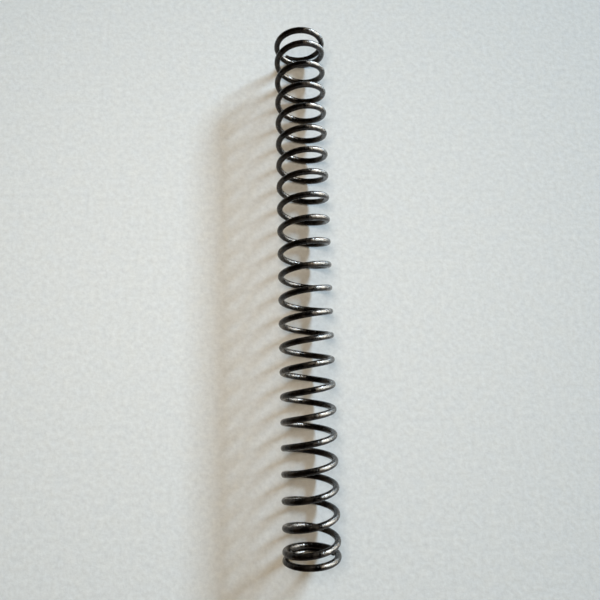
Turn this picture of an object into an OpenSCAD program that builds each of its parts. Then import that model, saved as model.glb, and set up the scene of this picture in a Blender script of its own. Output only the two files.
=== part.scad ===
// Compression spring: one length of round wire, coiled right-handed, with
// closed ends ground flat and square. It lies on its side along Y, with the
// middle of its free length over the origin and its lowest point at Z = 0.

/* [Wire and coils] */
// Diameter of the round wire
wire_d = 1.6; // [1:0.05:2]
// Outside diameter of the coils
outer_d = 14.5; // [11:0.1:18]
// Free length between the two ground faces
free_length = 140; // [110:1:180]
// All the turns of the wire, from tip to tip
total_turns = 24.29; // [20:0.01:28]

/* [Front end, towards -Y] */
// Turns that lie closed before the coils begin to open
front_closed = 1.1; // [0.6:0.05:1.5]
// Turns over which the coils open to the full pitch
front_opening = 1.3; // [0.8:0.05:2.5]
// Wire thickness that grinding leaves at the tip
front_tip_t = 0.2; // [0.1:0.05:0.7]

/* [Back end, towards +Y] */
// Turns that lie closed before the coils begin to open
back_closed = 0.7; // [0.4:0.05:1.5]
// Turns over which the coils open to the full pitch
back_opening = 1.2; // [0.8:0.05:2.5]
// Wire thickness that grinding leaves at the tip
back_tip_t = 0.4; // [0.1:0.05:0.7]

/* [Closed coils] */
// Clearance between the closed coils
coil_gap = 0.02; // [0.01:0.01:0.1]

/* [Pose] */
// Angle of the front tip round the axis, from +X towards +Z
front_tip_angle = 336; // [0:1:359]

/* [Facets] */
// Sides of the wire's section
wire_sides = 12; // [8:2:12]
// Rings of points along each turn
rings_per_turn = 20; // [12:1:20]

/* [Hidden] */

wire_r = wire_d / 2;
coil_r = outer_d / 2 - wire_r;
closed_pitch = wire_d + coil_gap;
half_turns = total_turns / 2;

// An opening coil's pitch rises fast and then levels off. These are the turns
// at each end that count as closed when the opening is taken as one step.
front_dead = front_closed + front_opening / 3;
back_dead = back_closed + back_opening / 3;

// The wire's centre runs from tip to tip over this length, and the open coils
// share what the closed ones leave of it.
centre_length = free_length + wire_d - front_tip_t - back_tip_t;
open_turns = total_turns - front_dead - back_dead;
open_pitch = closed_pitch + (centre_length - closed_pitch * total_turns) / open_turns;

// Rise of the wire's centre over s turns from a tip
function eased(x) = x <= 0 ? 0 : x >= 1 ? x - 1 / 3 : x * x - x * x * x / 3;
function rise(s, closed, opening) =
    closed_pitch * s + (open_pitch - closed_pitch) * opening * eased((s - closed) / opening);

// Pitch of the wire, s turns from a tip
function ease(x) = x <= 0 ? 0 : x >= 1 ? 1 : x * (2 - x);
function pitch(s, closed, opening) =
    closed_pitch + (open_pitch - closed_pitch) * ease((s - closed) / opening);

// The ground faces, and the wire's centre at t turns from the front tip
front_face = -free_length / 2;
back_face = free_length / 2;
front_centre = front_face - wire_r + front_tip_t;
back_centre = back_face + wire_r - back_tip_t;
function centre_y(t) = t < half_turns
    ? front_centre + rise(t, front_closed, front_opening)
    : back_centre - rise(total_turns - t, back_closed, back_opening);
function pitch_at(t) = t < half_turns
    ? pitch(t, front_closed, front_opening)
    : pitch(total_turns - t, back_closed, back_opening);

// A slanting wire is cut along the axis as an ellipse, taller by this factor.
function slant(t) = norm([PI * 2 * coil_r, pitch_at(t)]) / (PI * 2 * coil_r);

// Point k of the wire's section, [outwards, towards the end face], where h is
// the height of the face over the wire's centre. A face lower than the wire's
// top makes a chord: two points lie on its corners and one in its middle.
side_angle = 360 / wire_sides;
corner_angle = 180 - side_angle;
function wrap(a) = a > 180 ? a - 360 : a;
function arc_angle(h) = h >= wire_r ? corner_angle : min(corner_angle, acos(-h / wire_r));
function section(a, h) = abs(a) > corner_angle + 0.01
    ? [0, min(h, wire_r)]
    : let (b = a * arc_angle(h) / corner_angle) [wire_r * sin(b), -wire_r * cos(b)];

// Ring of points at t turns from the front tip
function ring(t) =
    let (back = t >= half_turns,
         dir = back ? 1 : -1,
         y = centre_y(t),
         tall = slant(t),
         h = dir * ((back ? back_face : front_face) - y) / tall,
         phi = front_tip_angle - 360 * t)
    [for (k = [0 : wire_sides - 1])
        let (p = section(wrap(back ? k * side_angle : 180 - k * side_angle), h),
             r = coil_r + p[0])
        [r * cos(phi), y + dir * p[1] * tall, outer_d / 2 + r * sin(phi)]];

rings = ceil(total_turns * rings_per_turn);
spring_points = [for (i = [0 : rings]) each ring(total_turns * i / rings)];

// Two triangles between each pair of neighbouring points on two rings, and one
// flat face over each tip
function corner(i, k) = i * wire_sides + k % wire_sides;
spring_faces = [
    [for (k = [0 : wire_sides - 1]) corner(0, k)],
    for (i = [0 : rings - 1], k = [0 : wire_sides - 1])
        each [[corner(i, k), corner(i + 1, k), corner(i + 1, k + 1)],
              [corner(i, k), corner(i + 1, k + 1), corner(i, k + 1)]],
    [for (k = [wire_sides - 1 : -1 : 0]) corner(rings, k)]
];

// The coiled wire, set down so that its lowest point is at Z = 0
module spring() {
    lowest = min([for (p = spring_points) p[2]]);
    color([0.2, 0.19, 0.18])
        translate([0, 0, -lowest])
            polyhedron(points = spring_points, faces = spring_faces, convexity = 30);
}

spring();
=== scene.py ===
# A compression spring of dark drawn wire, with closed ends ground flat, lying on a pale floor.

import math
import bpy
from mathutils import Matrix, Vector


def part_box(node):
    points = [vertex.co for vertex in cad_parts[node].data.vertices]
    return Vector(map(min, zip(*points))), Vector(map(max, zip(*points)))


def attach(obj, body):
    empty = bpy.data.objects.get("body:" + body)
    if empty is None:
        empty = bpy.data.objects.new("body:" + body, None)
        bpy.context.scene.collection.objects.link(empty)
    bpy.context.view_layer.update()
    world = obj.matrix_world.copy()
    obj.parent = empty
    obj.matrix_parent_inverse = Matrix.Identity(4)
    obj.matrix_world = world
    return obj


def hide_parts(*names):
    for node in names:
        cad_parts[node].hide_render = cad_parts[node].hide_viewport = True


bl_info = {
    "name": "Compression Spring",
    "version": (1, 0, 0),
    "blender": (4, 5, 0),
    "location": "View3D > Sidebar > Spring",
    "description": "Coils a dark wire spring with closed, ground ends, and lights it on a pale floor",
    "category": "Add Mesh",
}

import bpy
import numpy as np
from bpy.props import FloatProperty, FloatVectorProperty, IntProperty, PointerProperty
from mathutils import Matrix, Quaternion, Vector

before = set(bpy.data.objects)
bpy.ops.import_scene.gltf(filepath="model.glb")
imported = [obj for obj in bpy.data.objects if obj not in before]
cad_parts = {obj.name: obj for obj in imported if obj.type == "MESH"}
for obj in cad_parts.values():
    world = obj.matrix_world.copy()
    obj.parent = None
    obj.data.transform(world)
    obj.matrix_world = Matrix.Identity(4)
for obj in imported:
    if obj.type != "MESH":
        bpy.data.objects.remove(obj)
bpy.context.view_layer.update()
SPRING_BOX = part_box("spring")
MM = 0.001


class SpringWire(bpy.types.PropertyGroup):
    """Sizes of the wire and of its coils."""

    wire_d: FloatProperty(
        name="Wire Diameter", description="Diameter of the round wire", default=1.6 * MM, unit="LENGTH"
    )
    outer_d: FloatProperty(
        name="Outside Diameter",
        description="Outside diameter of the coils, which the solid's facets cut a hair short",
        default=round(SPRING_BOX[1].x - SPRING_BOX[0].x, 4),
        unit="LENGTH",
    )
    free_length: FloatProperty(
        name="Free Length",
        description="Length between the two ground faces",
        default=SPRING_BOX[1].y - SPRING_BOX[0].y,
        unit="LENGTH",
    )
    total_turns: FloatProperty(
        name="Turns", description="All the turns of the wire, from tip to tip", default=24.29
    )
    front_closed: FloatProperty(
        name="Front Closed Turns", description="Turns that lie closed at the front end", default=1.1
    )
    front_opening: FloatProperty(
        name="Front Opening Turns", description="Turns over which the front coils open", default=1.3
    )
    front_tip: FloatProperty(
        name="Front Tip", description="Wire left at the front tip", default=0.2 * MM, unit="LENGTH"
    )
    back_closed: FloatProperty(
        name="Back Closed Turns", description="Turns that lie closed at the back end", default=0.7
    )
    back_opening: FloatProperty(
        name="Back Opening Turns", description="Turns over which the back coils open", default=1.2
    )
    back_tip: FloatProperty(
        name="Back Tip", description="Wire left at the back tip", default=0.4 * MM, unit="LENGTH"
    )
    coil_gap: FloatProperty(
        name="Coil Gap", description="Clearance between the closed coils", default=0.02 * MM, unit="LENGTH"
    )
    front_tip_angle: FloatProperty(
        name="Front Tip Angle",
        description="Angle of the front tip round the axis, from +X towards +Z",
        default=math.radians(336),
        subtype="ANGLE",
    )
    sides: IntProperty(name="Sides", description="Sides of the wire's section, an even number", default=36)
    rings_per_turn: IntProperty(
        name="Rings per Turn", description="Rings of points along each turn", default=80
    )


class SpringFinish(bpy.types.PropertyGroup):
    """Colours, roughness and fine relief of the wire's oxide and of the ground steel."""

    oxide_color: FloatVectorProperty(
        name="Oxide",
        description="Near-black oxide of the drawn wire",
        subtype="COLOR",
        default=(0.006, 0.0045, 0.0035),
    )
    brown_color: FloatVectorProperty(
        name="Oil Brown",
        description="Browner patches, where the oiled oxide is thin",
        subtype="COLOR",
        default=(0.040, 0.028, 0.019),
    )
    steel_color: FloatVectorProperty(
        name="Ground Steel",
        description="Bare steel of the ground faces",
        subtype="COLOR",
        default=(0.36, 0.34, 0.32),
    )
    edge_color: FloatVectorProperty(
        name="Glancing Tint",
        description="Tint of what the oxide mirrors at glancing angles",
        subtype="COLOR",
        default=(0.25, 0.24, 0.22),
    )
    oxide_roughness: FloatVectorProperty(
        name="Oxide Roughness",
        description="Roughness of the black oxide and of its browner patches",
        size=2,
        default=(0.28, 0.50),
    )
    ground_roughness: FloatVectorProperty(
        name="Ground Roughness",
        description="Roughness of the ground steel between its scratches and in them",
        size=2,
        default=(0.25, 0.45),
    )
    lines_per_metre: FloatProperty(
        name="Die Lines", description="Die lines on each metre across the wire", default=7000.0
    )
    line_depth: FloatProperty(
        name="Line Depth", description="Depth of the die lines", default=0.006 * MM, unit="LENGTH"
    )
    patches_per_metre: FloatProperty(
        name="Brown Patches", description="Browner patches on each metre", default=550.0
    )
    pits_per_metre: FloatProperty(
        name="Pits", description="Shallow pits on each metre", default=1200.0
    )
    pit_depth: FloatProperty(
        name="Pit Depth", description="Depth of the shallow pits", default=0.04 * MM, unit="LENGTH"
    )
    oil_ior: FloatProperty(
        name="Oil Refraction", description="Index of refraction of the oil film", default=1.42
    )
    oil_roughness: FloatProperty(
        name="Oil Roughness", description="Roughness of the oil film", default=0.13
    )
    scratches_per_metre: FloatProperty(
        name="Scratches", description="The wheel's scratches on each metre across them", default=12000.0
    )
    scratch_depth: FloatProperty(
        name="Scratch Depth", description="Depth of the scratches", default=0.004 * MM, unit="LENGTH"
    )
    stains_per_metre: FloatProperty(
        name="Stains", description="Dull stains of the ground steel on each metre", default=500.0
    )
    stain_tone: FloatProperty(
        name="Stain Tone", description="Brightness of a stain, as a share of the bare steel's", default=0.55
    )


class SpringStage(bpy.types.PropertyGroup):
    """The floor, the light and the camera."""

    floor_color: FloatVectorProperty(
        name="Floor", description="Colour of the floor", subtype="COLOR", default=(0.72, 0.75, 0.745)
    )
    floor_size: FloatProperty(
        name="Floor Size", description="Side of the square floor", default=8.0, unit="LENGTH"
    )
    floor_sheen: FloatProperty(
        name="Mirrored Floor Sheen", description="Sheen of the floor, as the wire mirrors it", default=0.9
    )
    floor_roughness: FloatProperty(
        name="Floor Roughness", description="Roughness of the floor's sheen", default=0.28
    )
    clouds_per_metre: FloatProperty(
        name="Floor Clouds", description="Clouds of cooler and warmer tone on each metre", default=300.0
    )
    grain_per_metre: FloatProperty(
        name="Floor Grain", description="Grains on each metre of the floor", default=750.0
    )
    grain_tone: FloatProperty(
        name="Grain Tone", description="Share by which the grain changes the floor's tone", default=0.2
    )
    grain_depth: FloatProperty(
        name="Grain Depth", description="Depth of the floor's grain", default=0.05 * MM, unit="LENGTH"
    )
    fill_color: FloatVectorProperty(
        name="Fill",
        description="Warm even light from all round",
        subtype="COLOR",
        default=(0.195, 0.140, 0.070),
    )
    near_wall_color: FloatVectorProperty(
        name="Mirrored Near Walls",
        description="Brightness of the walls on the window's side, as the wire mirrors them",
        subtype="COLOR",
        default=(1.05, 1.08, 1.07),
    )
    far_wall_color: FloatVectorProperty(
        name="Mirrored Far Walls",
        description="Brightness of the walls across from the window, as the wire mirrors them",
        subtype="COLOR",
        default=(0.06, 0.045, 0.03),
    )
    wall_blend: FloatVectorProperty(
        name="Wall Blend",
        description="Where the far walls end and where the near ones begin, from -1 at -X to 1 at +X",
        size=2,
        default=(-0.6, 0.9),
    )
    ceiling_color: FloatVectorProperty(
        name="Mirrored Ceiling",
        description="Brightness overhead, as the wire mirrors it",
        subtype="COLOR",
        default=(0.020, 0.014, 0.010),
    )
    ceiling_edge: FloatProperty(
        name="Ceiling Edge",
        description="Height over the horizon at which the walls have turned into the ceiling",
        default=math.radians(60),
        subtype="ANGLE",
    )
    window_color: FloatVectorProperty(
        name="Mirrored Window",
        description="Brightness of the wide soft window, as the wire mirrors it",
        subtype="COLOR",
        soft_max=30.0,
        default=(17.2, 18.3, 18.0),
    )
    window_turn: FloatProperty(
        name="Window Turn",
        description="Direction of the window's middle, from +X towards +Y",
        default=math.radians(22),
        subtype="ANGLE",
    )
    window_height: FloatProperty(
        name="Window Height",
        description="Angle of the window's middle over the floor",
        default=math.radians(14),
        subtype="ANGLE",
    )
    window_core: FloatProperty(
        name="Window Core",
        description="Angle from the middle at which the window begins to fade",
        default=math.radians(12),
        subtype="ANGLE",
    )
    window_edge: FloatProperty(
        name="Window Edge",
        description="Angle from the middle at which the window has faded out",
        default=math.radians(40),
        subtype="ANGLE",
    )
    key_color: FloatVectorProperty(
        name="Key",
        description="Cool light of the main lamp, as a share of the light on the floor",
        subtype="COLOR",
        default=(0.360, 0.467, 0.573),
    )
    key_turn: FloatProperty(
        name="Key Turn",
        description="Direction that the main lamp stands in, from +X towards +Y",
        default=math.radians(45),
        subtype="ANGLE",
    )
    key_height: FloatProperty(
        name="Key Height",
        description="Angle of the main lamp over the floor",
        default=math.radians(21.5),
        subtype="ANGLE",
    )
    key_size: FloatVectorProperty(
        name="Key Size",
        description="Width and upright size of the main lamp's face",
        size=2,
        unit="LENGTH",
        default=(0.95, 0.42),
    )
    key_roll: FloatProperty(
        name="Key Roll",
        description="Turn of the main lamp's face, which lowers its end towards +Y",
        default=math.radians(20),
        subtype="ANGLE",
    )
    key_distance: FloatProperty(
        name="Key Distance", description="Distance to the main lamp", default=3.0, unit="LENGTH"
    )
    top_color: FloatVectorProperty(
        name="Overhead",
        description="Warm light from close overhead, as a share of the light on the floor",
        subtype="COLOR",
        default=(0.472, 0.410, 0.352),
    )
    top_turn: FloatProperty(
        name="Overhead Turn",
        description="Direction that the overhead lamp is off to, from +X towards +Y",
        default=math.radians(165),
        subtype="ANGLE",
    )
    top_height: FloatProperty(
        name="Overhead Height",
        description="Angle of the overhead lamp over the floor",
        default=math.radians(81),
        subtype="ANGLE",
    )
    top_size: FloatVectorProperty(
        name="Overhead Size",
        description="Width and upright size of the overhead lamp's face",
        size=2,
        unit="LENGTH",
        default=(0.08, 0.08),
    )
    top_distance: FloatProperty(
        name="Overhead Distance", description="Distance to the overhead lamp", default=0.20, unit="LENGTH"
    )
    camera_place: FloatVectorProperty(
        name="Camera Place",
        description="Where the camera is",
        subtype="TRANSLATION",
        unit="LENGTH",
        default=(-5.01 * MM, -26.19 * MM, 131.84 * MM),
    )
    camera_aim: FloatVectorProperty(
        name="Camera Aim",
        description="Point on the floor in the middle of the view",
        subtype="TRANSLATION",
        unit="LENGTH",
        default=(-1.25 * MM, -4.41 * MM, 0.0),
    )
    camera_roll: FloatProperty(
        name="Camera Roll",
        description="Turn of the camera to the right about its view, from +Y upwards",
        default=math.radians(1.35),
        subtype="ANGLE",
    )
    camera_lens: FloatProperty(name="Lens", description="Focal length in millimetres", default=28.51)


def eased(x):
    """Integral of the ease-out over one unit: x squared less a third of x cubed, and then straight."""
    inner = np.clip(x, 0.0, 1.0)
    return inner**2 - inner**3 / 3 + np.maximum(x - 1.0, 0.0)


def ease(x):
    """An ease-out from 0 to 1 over one unit: x times two less x."""
    inner = np.clip(x, 0.0, 1.0)
    return inner * (2 - inner)


def wire_path(wire, turns):
    """Height of the wire's centre along Y, its pitch, and the end plane that it is cut by, at each turn.

    From either tip the centre rises by the closed pitch per turn, and the opening adds the difference to
    the open pitch, eased in over the opening turns. The open pitch is what the free length leaves.
    """
    closed_pitch = wire.wire_d + wire.coil_gap
    closed = wire.front_closed + wire.front_opening / 3 + wire.back_closed + wire.back_opening / 3
    centre_length = wire.free_length + wire.wire_d - wire.front_tip - wire.back_tip
    extra = (centre_length - closed_pitch * wire.total_turns) / (wire.total_turns - closed)

    back = turns >= wire.total_turns / 2
    side = np.where(back, 1.0, -1.0)
    from_tip = np.where(back, wire.total_turns - turns, turns)
    first = np.where(back, wire.back_closed, wire.front_closed)
    opening = np.where(back, wire.back_opening, wire.front_opening)
    tip = np.where(back, wire.back_tip, wire.front_tip)
    opened = (from_tip - first) / opening
    face = side * wire.free_length / 2
    rise = closed_pitch * from_tip + extra * opening * eased(opened)
    centre = face + side * (wire.wire_d / 2 - tip - rise)
    return centre, closed_pitch + extra * ease(opened), face, side


def coiled_wire(wire):
    """Points of the coiled wire as [ring, side, xyz], their places on the straight wire, and the cut rings.

    The centre turns right-handed about the axis, which lies along Y. Each ring is the wire's round
    section, stretched along Y by the wire's slant. Its part past the end plane is cut off: the section's
    arc stops at the plane on both sides, and one point lies on the middle of the chord.
    """
    wire_r = wire.wire_d / 2
    coil_r = wire.outer_d / 2 - wire_r
    rings = math.ceil(wire.total_turns * wire.rings_per_turn)
    turns = np.linspace(0.0, wire.total_turns, rings + 1)
    centre, pitch, face, side = wire_path(wire, turns)
    turn_length = np.hypot(2 * math.pi * coil_r, pitch)
    slant = turn_length / (2 * math.pi * coil_r)

    # Height of the end plane over the centre, and half the arc that the plane leaves of the section
    plane = side * (face - centre) / slant
    corner = math.pi - 2 * math.pi / wire.sides
    half_arc = np.minimum(corner, np.arccos(np.clip(-plane / wire_r, -1.0, 1.0)))

    # Angle round the section from the side away from the end plane, between minus and plus half a turn
    k = np.arange(wire.sides) * 2 * math.pi / wire.sides
    angle = np.where(side[:, None] > 0, k, math.pi - k)
    angle = np.where(angle > math.pi + 1e-6, angle - 2 * math.pi, angle)
    middle = np.abs(angle) > corner + 1e-6
    arc = angle * half_arc[:, None] / corner
    outwards = np.where(middle, 0.0, wire_r * np.sin(arc))
    upwards = np.where(middle, np.minimum(plane, wire_r)[:, None], -wire_r * np.cos(arc))

    phi = wire.front_tip_angle - 2 * math.pi * turns[:, None]
    radius = coil_r + outwards
    along = centre[:, None] + side[:, None] * upwards * slant[:, None]
    points = np.stack([radius * np.cos(phi), along, wire.outer_d / 2 + radius * np.sin(phi)], axis=-1)

    # The same points on the straight wire: its section in X and Y, and its length in Z
    step = wire.total_turns / rings
    length = np.concatenate([[0.0], np.cumsum((turn_length[1:] + turn_length[:-1]) / 2 * step)])
    straight = np.stack(
        [outwards, side[:, None] * upwards, np.broadcast_to(length[:, None], outwards.shape)], axis=-1
    )
    return points, straight, half_arc < corner - 1e-6


def wire_mesh(name, wire):
    """Mesh of the coiled wire: quads between neighbouring rings and one flat face over each tip."""
    points, straight, cut = coiled_wire(wire)
    rings, sides = points.shape[:2]
    ring, side = np.meshgrid(np.arange(rings - 1), np.arange(sides), indexing="ij")
    after = (side + 1) % sides
    quads = np.stack([ring * sides + side, ring * sides + after, (ring + 1) * sides + after,
                      (ring + 1) * sides + side], axis=-1).reshape(-1, 4)

    tips = [np.arange(sides)[::-1], (rings - 1) * sides + np.arange(sides)]
    corners = np.concatenate([quads.ravel(), *tips])
    sizes = np.concatenate([np.full(len(quads), 4), [sides, sides]])
    starts = np.concatenate([[0], np.cumsum(sizes)[:-1]])

    mesh = bpy.data.meshes.new(name)
    mesh.vertices.add(rings * sides)
    mesh.vertices.foreach_set("co", points.astype(np.float32).ravel())
    mesh.loops.add(len(corners))
    mesh.loops.foreach_set("vertex_index", corners.astype(np.int32))
    mesh.polygons.add(len(sizes))
    mesh.polygons.foreach_set("loop_start", starts.astype(np.int32))

    # A quad is ground where it touches the middle of the chord and both of its rings are cut
    middle = np.where(ring < (rings - 1) / 2, 0, sides // 2)
    ground = ((side == middle) | (after == middle)) & cut[ring] & cut[ring + 1]
    ground = np.concatenate([ground.ravel(), [True, True]])
    mesh.polygons.foreach_set("use_smooth", ~ground)
    mesh.polygons.foreach_set("material_index", ground.astype(np.int32))

    lay = mesh.attributes.new("straight_wire", "FLOAT_VECTOR", "POINT")
    lay.data.foreach_set("vector", straight.astype(np.float32).ravel())
    mesh.update(calc_edges=True)
    if mesh.validate():
        raise RuntimeError("the wire's mesh has faces that don't hold")
    return mesh


def new_node(tree, kind, x, y, **settings):
    """Adds a node at a place in the tree and sets its plain settings."""
    node = tree.nodes.new(kind)
    node.location = (x, y)
    for key, value in settings.items():
        setattr(node, key, value)
    return node


def set_inputs(node, **values):
    """Sets a node's sockets by name, where an underscore stands for a space."""
    for key, value in values.items():
        node.inputs[key.replace("_", " ")].default_value = value


def new_group(name, inputs, outputs):
    """An empty shader node group with its own sockets: (name, kind, default) in and (name, kind) out."""
    group = bpy.data.node_groups.new(name, "ShaderNodeTree")
    for socket, kind, default in inputs:
        made = group.interface.new_socket(socket, in_out="INPUT", socket_type=kind)
        if default is not None:
            made.default_value = default
    for socket, kind in outputs:
        group.interface.new_socket(socket, in_out="OUTPUT", socket_type=kind)
    return group


def grain_group():
    """Long fine lines, as dies and wheels leave them: noise stretched along the Z of its vector."""
    group = new_group(
        "Grain",
        [("Vector", "NodeSocketVector", None), ("Lines per Metre", "NodeSocketFloat", 9000.0),
         ("Stretch", "NodeSocketFloat", 60.0)],
        [("Mask", "NodeSocketFloat")],
    )
    inside = new_node(group, "NodeGroupInput", -900, 0)
    across = new_node(group, "ShaderNodeMath", -700, -120, operation="DIVIDE")
    scale = new_node(group, "ShaderNodeCombineXYZ", -520, -60)
    lay = new_node(group, "ShaderNodeVectorMath", -340, 0, operation="MULTIPLY")
    noise = new_node(group, "ShaderNodeTexNoise", -160, 0)
    spread = new_node(group, "ShaderNodeMapRange", 40, 0)
    outside = new_node(group, "NodeGroupOutput", 240, 0)
    set_inputs(noise, Scale=1.0, Detail=2.0, Roughness=0.55)
    set_inputs(spread, From_Min=0.35, From_Max=0.65)
    link = group.links.new
    link(inside.outputs["Lines per Metre"], across.inputs[0])
    link(inside.outputs["Stretch"], across.inputs[1])
    link(inside.outputs["Lines per Metre"], scale.inputs["X"])
    link(inside.outputs["Lines per Metre"], scale.inputs["Y"])
    link(across.outputs[0], scale.inputs["Z"])
    link(inside.outputs["Vector"], lay.inputs[0])
    link(scale.outputs[0], lay.inputs[1])
    link(lay.outputs[0], noise.inputs["Vector"])
    link(noise.outputs["Fac"], spread.inputs["Value"])
    link(spread.outputs[0], outside.inputs["Mask"])
    return group


def mottle_group():
    """Soft blotches: noise of a given size, spread out to a full mask."""
    group = new_group(
        "Mottle",
        [("Vector", "NodeSocketVector", None), ("Blotches per Metre", "NodeSocketFloat", 400.0),
         ("Detail", "NodeSocketFloat", 3.0)],
        [("Mask", "NodeSocketFloat")],
    )
    inside = new_node(group, "NodeGroupInput", -500, 0)
    noise = new_node(group, "ShaderNodeTexNoise", -260, 0)
    spread = new_node(group, "ShaderNodeMapRange", -40, 0, interpolation_type="SMOOTHSTEP")
    outside = new_node(group, "NodeGroupOutput", 160, 0)
    set_inputs(spread, From_Min=0.36, From_Max=0.66)
    link = group.links.new
    link(inside.outputs["Vector"], noise.inputs["Vector"])
    link(inside.outputs["Blotches per Metre"], noise.inputs["Scale"])
    link(inside.outputs["Detail"], noise.inputs["Detail"])
    link(noise.outputs["Fac"], spread.inputs["Value"])
    link(spread.outputs[0], outside.inputs["Mask"])
    return group


def shader_base(name):
    """A new material with only its output and a Principled shader, and its tree."""
    material = bpy.data.materials.new(name)
    material.use_nodes = True
    tree = material.node_tree
    tree.nodes.clear()
    shader = new_node(tree, "ShaderNodeBsdfPrincipled", 500, 0)
    output = new_node(tree, "ShaderNodeOutputMaterial", 800, 0)
    tree.links.new(shader.outputs["BSDF"], output.inputs["Surface"])
    return material, tree, shader


def placed_group(tree, group, x, y, vector, **values):
    """Places a node group in a material, feeds its vector and sets its values."""
    node = new_node(tree, "ShaderNodeGroup", x, y, node_tree=group)
    tree.links.new(vector, node.inputs["Vector"])
    set_inputs(node, **values)
    return node.outputs["Mask"]


def mixed_color(tree, x, y, mask, low, high):
    """A colour that goes from low to high with the mask. Either end may be a socket."""
    mix = new_node(tree, "ShaderNodeMix", x, y, data_type="RGBA")
    tree.links.new(mask, mix.inputs[0])

    # The mix node has a set of sockets for each kind of data, and these are the ones for colours.
    for end, slot in ((low, mix.inputs[6]), (high, mix.inputs[7])):
        if isinstance(end, bpy.types.NodeSocket):
            tree.links.new(end, slot)
        else:
            slot.default_value = (*end, 1.0)
    return mix.outputs[2]


def ranged(tree, x, y, mask, low, high):
    """A value that goes from low to high with the mask."""
    node = new_node(tree, "ShaderNodeMapRange", x, y)
    set_inputs(node, To_Min=low, To_Max=high)
    tree.links.new(mask, node.inputs["Value"])
    return node.outputs[0]


def oxide_material(finish, grain, mottle):
    """Drawn wire under a thin oiled oxide: near black, browner in patches, with die lines along it."""
    material, tree, shader = shader_base("oxide_wire")
    link = tree.links.new
    lay = new_node(tree, "ShaderNodeAttribute", -900, 0, attribute_name="straight_wire")
    where = new_node(tree, "ShaderNodeTexCoord", -900, -300).outputs["Object"]
    lines = placed_group(
        tree, grain, -600, 100, lay.outputs["Vector"], Lines_per_Metre=finish.lines_per_metre, Stretch=45.0
    )
    patches = placed_group(tree, mottle, -600, -150, where, Blotches_per_Metre=finish.patches_per_metre)
    pits = placed_group(
        tree, mottle, -600, -400, where, Blotches_per_Metre=finish.pits_per_metre, Detail=5.0
    )

    brown = mixed_color(tree, -250, 150, patches, finish.oxide_color, finish.brown_color)
    steel_share = ranged(tree, -250, 350, lines, 0.0, 0.01)
    rubbed = mixed_color(tree, -20, 150, steel_share, brown, finish.steel_color)
    link(rubbed, shader.inputs["Base Color"])
    link(ranged(tree, 150, -150, patches, *finish.oxide_roughness), shader.inputs["Roughness"])

    lumps = new_node(tree, "ShaderNodeBump", 0, -400)
    set_inputs(lumps, Strength=0.9, Distance=finish.pit_depth)
    link(pits, lumps.inputs["Height"])
    drawn = new_node(tree, "ShaderNodeBump", 250, -400)
    set_inputs(drawn, Strength=0.5, Distance=finish.line_depth)
    link(lines, drawn.inputs["Height"])
    link(lumps.outputs["Normal"], drawn.inputs["Normal"])
    link(drawn.outputs["Normal"], shader.inputs["Normal"])
    link(drawn.outputs["Normal"], shader.inputs["Coat Normal"])
    set_inputs(shader, Metallic=1.0, Specular_Tint=(*finish.edge_color, 1.0))
    set_inputs(shader, Coat_Weight=1.0, Coat_IOR=finish.oil_ior, Coat_Roughness=finish.oil_roughness)
    return material


def ground_material(finish, grain, mottle):
    """Bare steel of the ground ends, with the wheel's straight scratches and a little dulling."""
    material, tree, shader = shader_base("ground_steel")
    link = tree.links.new
    where = new_node(tree, "ShaderNodeTexCoord", -900, 0).outputs["Object"]
    scratches = placed_group(
        tree, grain, -600, 100, where, Lines_per_Metre=finish.scratches_per_metre, Stretch=70.0
    )
    stains = placed_group(tree, mottle, -600, -150, where, Blotches_per_Metre=finish.stains_per_metre)
    dull = tuple(c * finish.stain_tone for c in finish.steel_color)
    link(mixed_color(tree, -250, 100, stains, finish.steel_color, dull), shader.inputs["Base Color"])
    link(ranged(tree, 0, -100, scratches, *finish.ground_roughness), shader.inputs["Roughness"])
    bump = new_node(tree, "ShaderNodeBump", 250, -300)
    set_inputs(bump, Strength=0.5, Distance=finish.scratch_depth)
    link(scratches, bump.inputs["Height"])
    link(bump.outputs["Normal"], shader.inputs["Normal"])
    set_inputs(shader, Metallic=1.0)
    return material


def floor_material(stage):
    """A pale floor with a low sheen and a fine grain, uneven in tone by a percent or two."""
    material, tree, shader = shader_base("pale_floor")
    link = tree.links.new
    where = new_node(tree, "ShaderNodeTexCoord", -700, 0).outputs["Object"]
    clouds = new_node(tree, "ShaderNodeTexNoise", -450, 0)
    set_inputs(clouds, Scale=stage.clouds_per_metre, Detail=3.0)
    link(where, clouds.inputs["Vector"])
    cooler = tuple(c * share for c, share in zip(stage.floor_color, (0.97, 0.985, 1.01)))
    warmer = tuple(c * share for c, share in zip(stage.floor_color, (1.03, 1.015, 0.99)))
    tone = mixed_color(tree, -200, 0, clouds.outputs["Fac"], cooler, warmer)

    grain = new_node(tree, "ShaderNodeTexNoise", -450, -300)
    set_inputs(grain, Scale=stage.grain_per_metre, Detail=4.0, Roughness=0.65)
    link(where, grain.inputs["Vector"])
    share = ranged(tree, 0, -200, grain.outputs["Fac"], 1 - stage.grain_tone, 1 + stage.grain_tone)
    speckle = new_node(tree, "ShaderNodeHueSaturation", 200, 0)
    link(share, speckle.inputs["Value"])
    link(tone, speckle.inputs["Color"])
    link(speckle.outputs[0], shader.inputs["Base Color"])
    bump = new_node(tree, "ShaderNodeBump", 0, -400)
    set_inputs(bump, Strength=1.0, Distance=stage.grain_depth)
    link(grain.outputs["Fac"], bump.inputs["Height"])
    link(bump.outputs["Normal"], shader.inputs["Normal"])

    # The sheen shows where the wire mirrors the floor. The camera sees the floor without it, as it would
    # blind the low views.
    path = new_node(tree, "ShaderNodeLightPath", 0, -700)
    sheen = ranged(tree, 250, -600, path.outputs["Is Camera Ray"], stage.floor_sheen, 0.0)
    link(sheen, shader.inputs["Specular IOR Level"])
    set_inputs(shader, Roughness=stage.floor_roughness)
    return material


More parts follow.
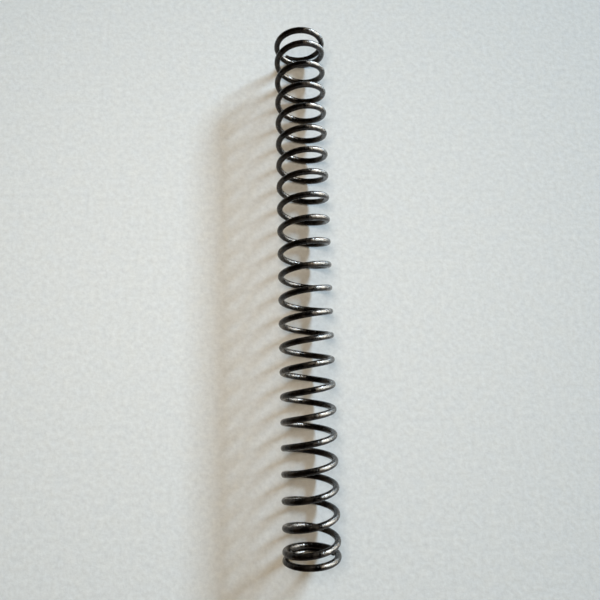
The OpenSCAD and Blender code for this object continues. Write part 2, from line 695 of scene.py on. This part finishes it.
class SPRING_OT_wire(bpy.types.Operator):
    """Coil the wire with its closed, ground ends and give it its finish"""

    bl_idname = "spring.wire"
    bl_label = "Coiled Wire"

    def execute(self, context):
        scene = context.scene
        mesh = wire_mesh("coiled_wire", scene.spring_wire)
        grain, mottle = grain_group(), mottle_group()
        mesh.materials.append(oxide_material(scene.spring_finish, grain, mottle))
        mesh.materials.append(ground_material(scene.spring_finish, grain, mottle))
        piece = bpy.data.objects.new("coiled_wire", mesh)
        scene.collection.objects.link(piece)
        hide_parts("spring")
        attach(piece, "root")
        return {"FINISHED"}


def square_floor(stage):
    """The floor: one square in the plane that the spring lies on."""
    half = stage.floor_size / 2
    mesh = bpy.data.meshes.new("floor")
    corners = [(-half, -half, 0), (half, -half, 0), (half, half, 0), (-half, half, 0)]
    mesh.from_pydata(corners, [], [(0, 1, 2, 3)])
    mesh.materials.append(floor_material(stage))
    return bpy.data.objects.new("floor", mesh)


def towards(turn, height):
    """The direction at an angle from +X towards +Y and at an angle over the floor."""
    level = math.cos(height)
    return Vector((level * math.cos(turn), level * math.sin(turn), math.sin(height)))


def soft_lamp(name, share, turn, height, distance, size, roll=0.0):
    """A flat lamp that faces the spring. Its power gives the floor the lamp's share of its light."""
    direction = towards(turn, height)
    light = bpy.data.lights.new(name, "AREA")
    light.shape = "RECTANGLE"
    light.size, light.size_y = size
    strongest = max(share)
    light.energy = strongest * (math.pi * distance) ** 2 / math.sin(height)
    light.color = [c / strongest for c in share]
    lamp = bpy.data.objects.new(name, light)
    lamp.location = direction * distance
    lamp.rotation_mode = "QUATERNION"
    lamp.rotation_quaternion = (-direction).to_track_quat("-Z", "Y") @ Quaternion((0, 0, 1), -roll)
    return lamp


def fill_world(stage):
    """Even light on everything, and the room that the wire mirrors: walls, a dim ceiling and a window."""
    world = bpy.data.worlds.new("fill")
    world.use_nodes = True
    tree = world.node_tree
    tree.nodes.clear()
    link = tree.links.new
    where = new_node(tree, "ShaderNodeTexCoord", -700, 0).outputs["Generated"]
    split = new_node(tree, "ShaderNodeSeparateXYZ", -500, 0)
    link(where, split.inputs[0])
    height = new_node(tree, "ShaderNodeMapRange", -300, 0, interpolation_type="SMOOTHSTEP")
    set_inputs(height, From_Min=0.0, From_Max=math.sin(stage.ceiling_edge))
    link(split.outputs["Z"], height.inputs["Value"])
    near = new_node(tree, "ShaderNodeVectorMath", -500, -300, operation="DOT_PRODUCT")
    near.inputs[1].default_value = towards(stage.window_turn, stage.window_height)
    link(where, near.inputs[0])
    glow = new_node(tree, "ShaderNodeMapRange", -300, -300, interpolation_type="SMOOTHSTEP")
    set_inputs(glow, From_Min=math.cos(stage.window_edge), From_Max=math.cos(stage.window_core))
    link(near.outputs["Value"], glow.inputs["Value"])

    across = new_node(tree, "ShaderNodeMapRange", -300, 300, interpolation_type="SMOOTHSTEP")
    set_inputs(across, From_Min=stage.wall_blend[0], From_Max=stage.wall_blend[1])
    link(split.outputs["X"], across.inputs["Value"])
    walls = mixed_color(tree, -100, 300, across.outputs[0], stage.far_wall_color, stage.near_wall_color)
    room = mixed_color(tree, -100, 0, height.outputs[0], walls, stage.ceiling_color)
    mirrored = mixed_color(tree, 100, 0, glow.outputs[0], room, stage.window_color)
    path = new_node(tree, "ShaderNodeLightPath", 100, 400)
    light = mixed_color(tree, 300, 0, path.outputs["Is Glossy Ray"], stage.fill_color, mirrored)
    seen = mixed_color(tree, 500, 0, path.outputs["Is Camera Ray"], light, stage.floor_color)
    background = new_node(tree, "ShaderNodeBackground", 700, 0)
    output = new_node(tree, "ShaderNodeOutputWorld", 900, 0)
    link(seen, background.inputs["Color"])
    link(background.outputs[0], output.inputs["Surface"])
    return world


def view_camera(stage):
    """The camera, almost straight over the spring, with +Y up in its view but for a small roll."""
    place, aim = Vector(stage.camera_place), Vector(stage.camera_aim)
    look = (aim - place).normalized()
    right = look.cross(Vector((0, 1, 0))).normalized()
    turned = Matrix((right, right.cross(look), -look)).transposed().to_quaternion()
    camera = bpy.data.objects.new("camera", bpy.data.cameras.new("camera"))
    camera.data.lens = stage.camera_lens
    camera.data.sensor_width = 36
    camera.data.clip_start = 5 * MM
    camera.location = place
    camera.rotation_mode = "QUATERNION"
    camera.rotation_quaternion = Quaternion(look, stage.camera_roll) @ turned
    return camera


class SPRING_OT_stage(bpy.types.Operator):
    """Lay the pale floor, hang the lamps and place the camera"""

    bl_idname = "spring.stage"
    bl_label = "Floor, Light and Camera"

    def execute(self, context):
        scene, stage = context.scene, context.scene.spring_stage
        floor, camera = square_floor(stage), view_camera(stage)
        key = soft_lamp(
            "key", stage.key_color, stage.key_turn, stage.key_height, stage.key_distance, stage.key_size,
            stage.key_roll,
        )
        top = soft_lamp(
            "top", stage.top_color, stage.top_turn, stage.top_height, stage.top_distance, stage.top_size
        )
        top.visible_camera = top.visible_glossy = False
        for thing in (floor, key, top, camera):
            scene.collection.objects.link(thing)
        scene.world = fill_world(stage)
        scene.camera = camera
        scene.view_settings.view_transform = "Standard"
        return {"FINISHED"}


class SPRING_PT_panel(bpy.types.Panel):
    """Sizes, finish and stage of the spring, with the buttons that make them"""

    bl_idname = "SPRING_PT_panel"
    bl_label = "Spring"
    bl_space_type = "VIEW_3D"
    bl_region_type = "UI"
    bl_category = "Spring"

    def draw(self, context):
        layout, scene = self.layout, context.scene
        for group, operator in (
            (scene.spring_stage, SPRING_OT_stage), (scene.spring_wire, SPRING_OT_wire),
            (scene.spring_finish, None),
        ):
            box = layout.box()
            for key in group.bl_rna.properties.keys():
                if key not in {"rna_type", "name"}:
                    box.prop(group, key)
            if operator:
                box.operator(operator.bl_idname)


CLASSES = (SpringWire, SpringFinish, SpringStage, SPRING_OT_wire, SPRING_OT_stage, SPRING_PT_panel)


def register():
    for each in CLASSES:
        bpy.utils.register_class(each)
    bpy.types.Scene.spring_wire = PointerProperty(type=SpringWire)
    bpy.types.Scene.spring_finish = PointerProperty(type=SpringFinish)
    bpy.types.Scene.spring_stage = PointerProperty(type=SpringStage)


def unregister():
    del bpy.types.Scene.spring_stage, bpy.types.Scene.spring_finish, bpy.types.Scene.spring_wire
    for each in reversed(CLASSES):
        bpy.utils.unregister_class(each)


def main():
    register()
    bpy.ops.spring.stage()
    bpy.ops.spring.wire()


if __name__ == "__main__":
    main()
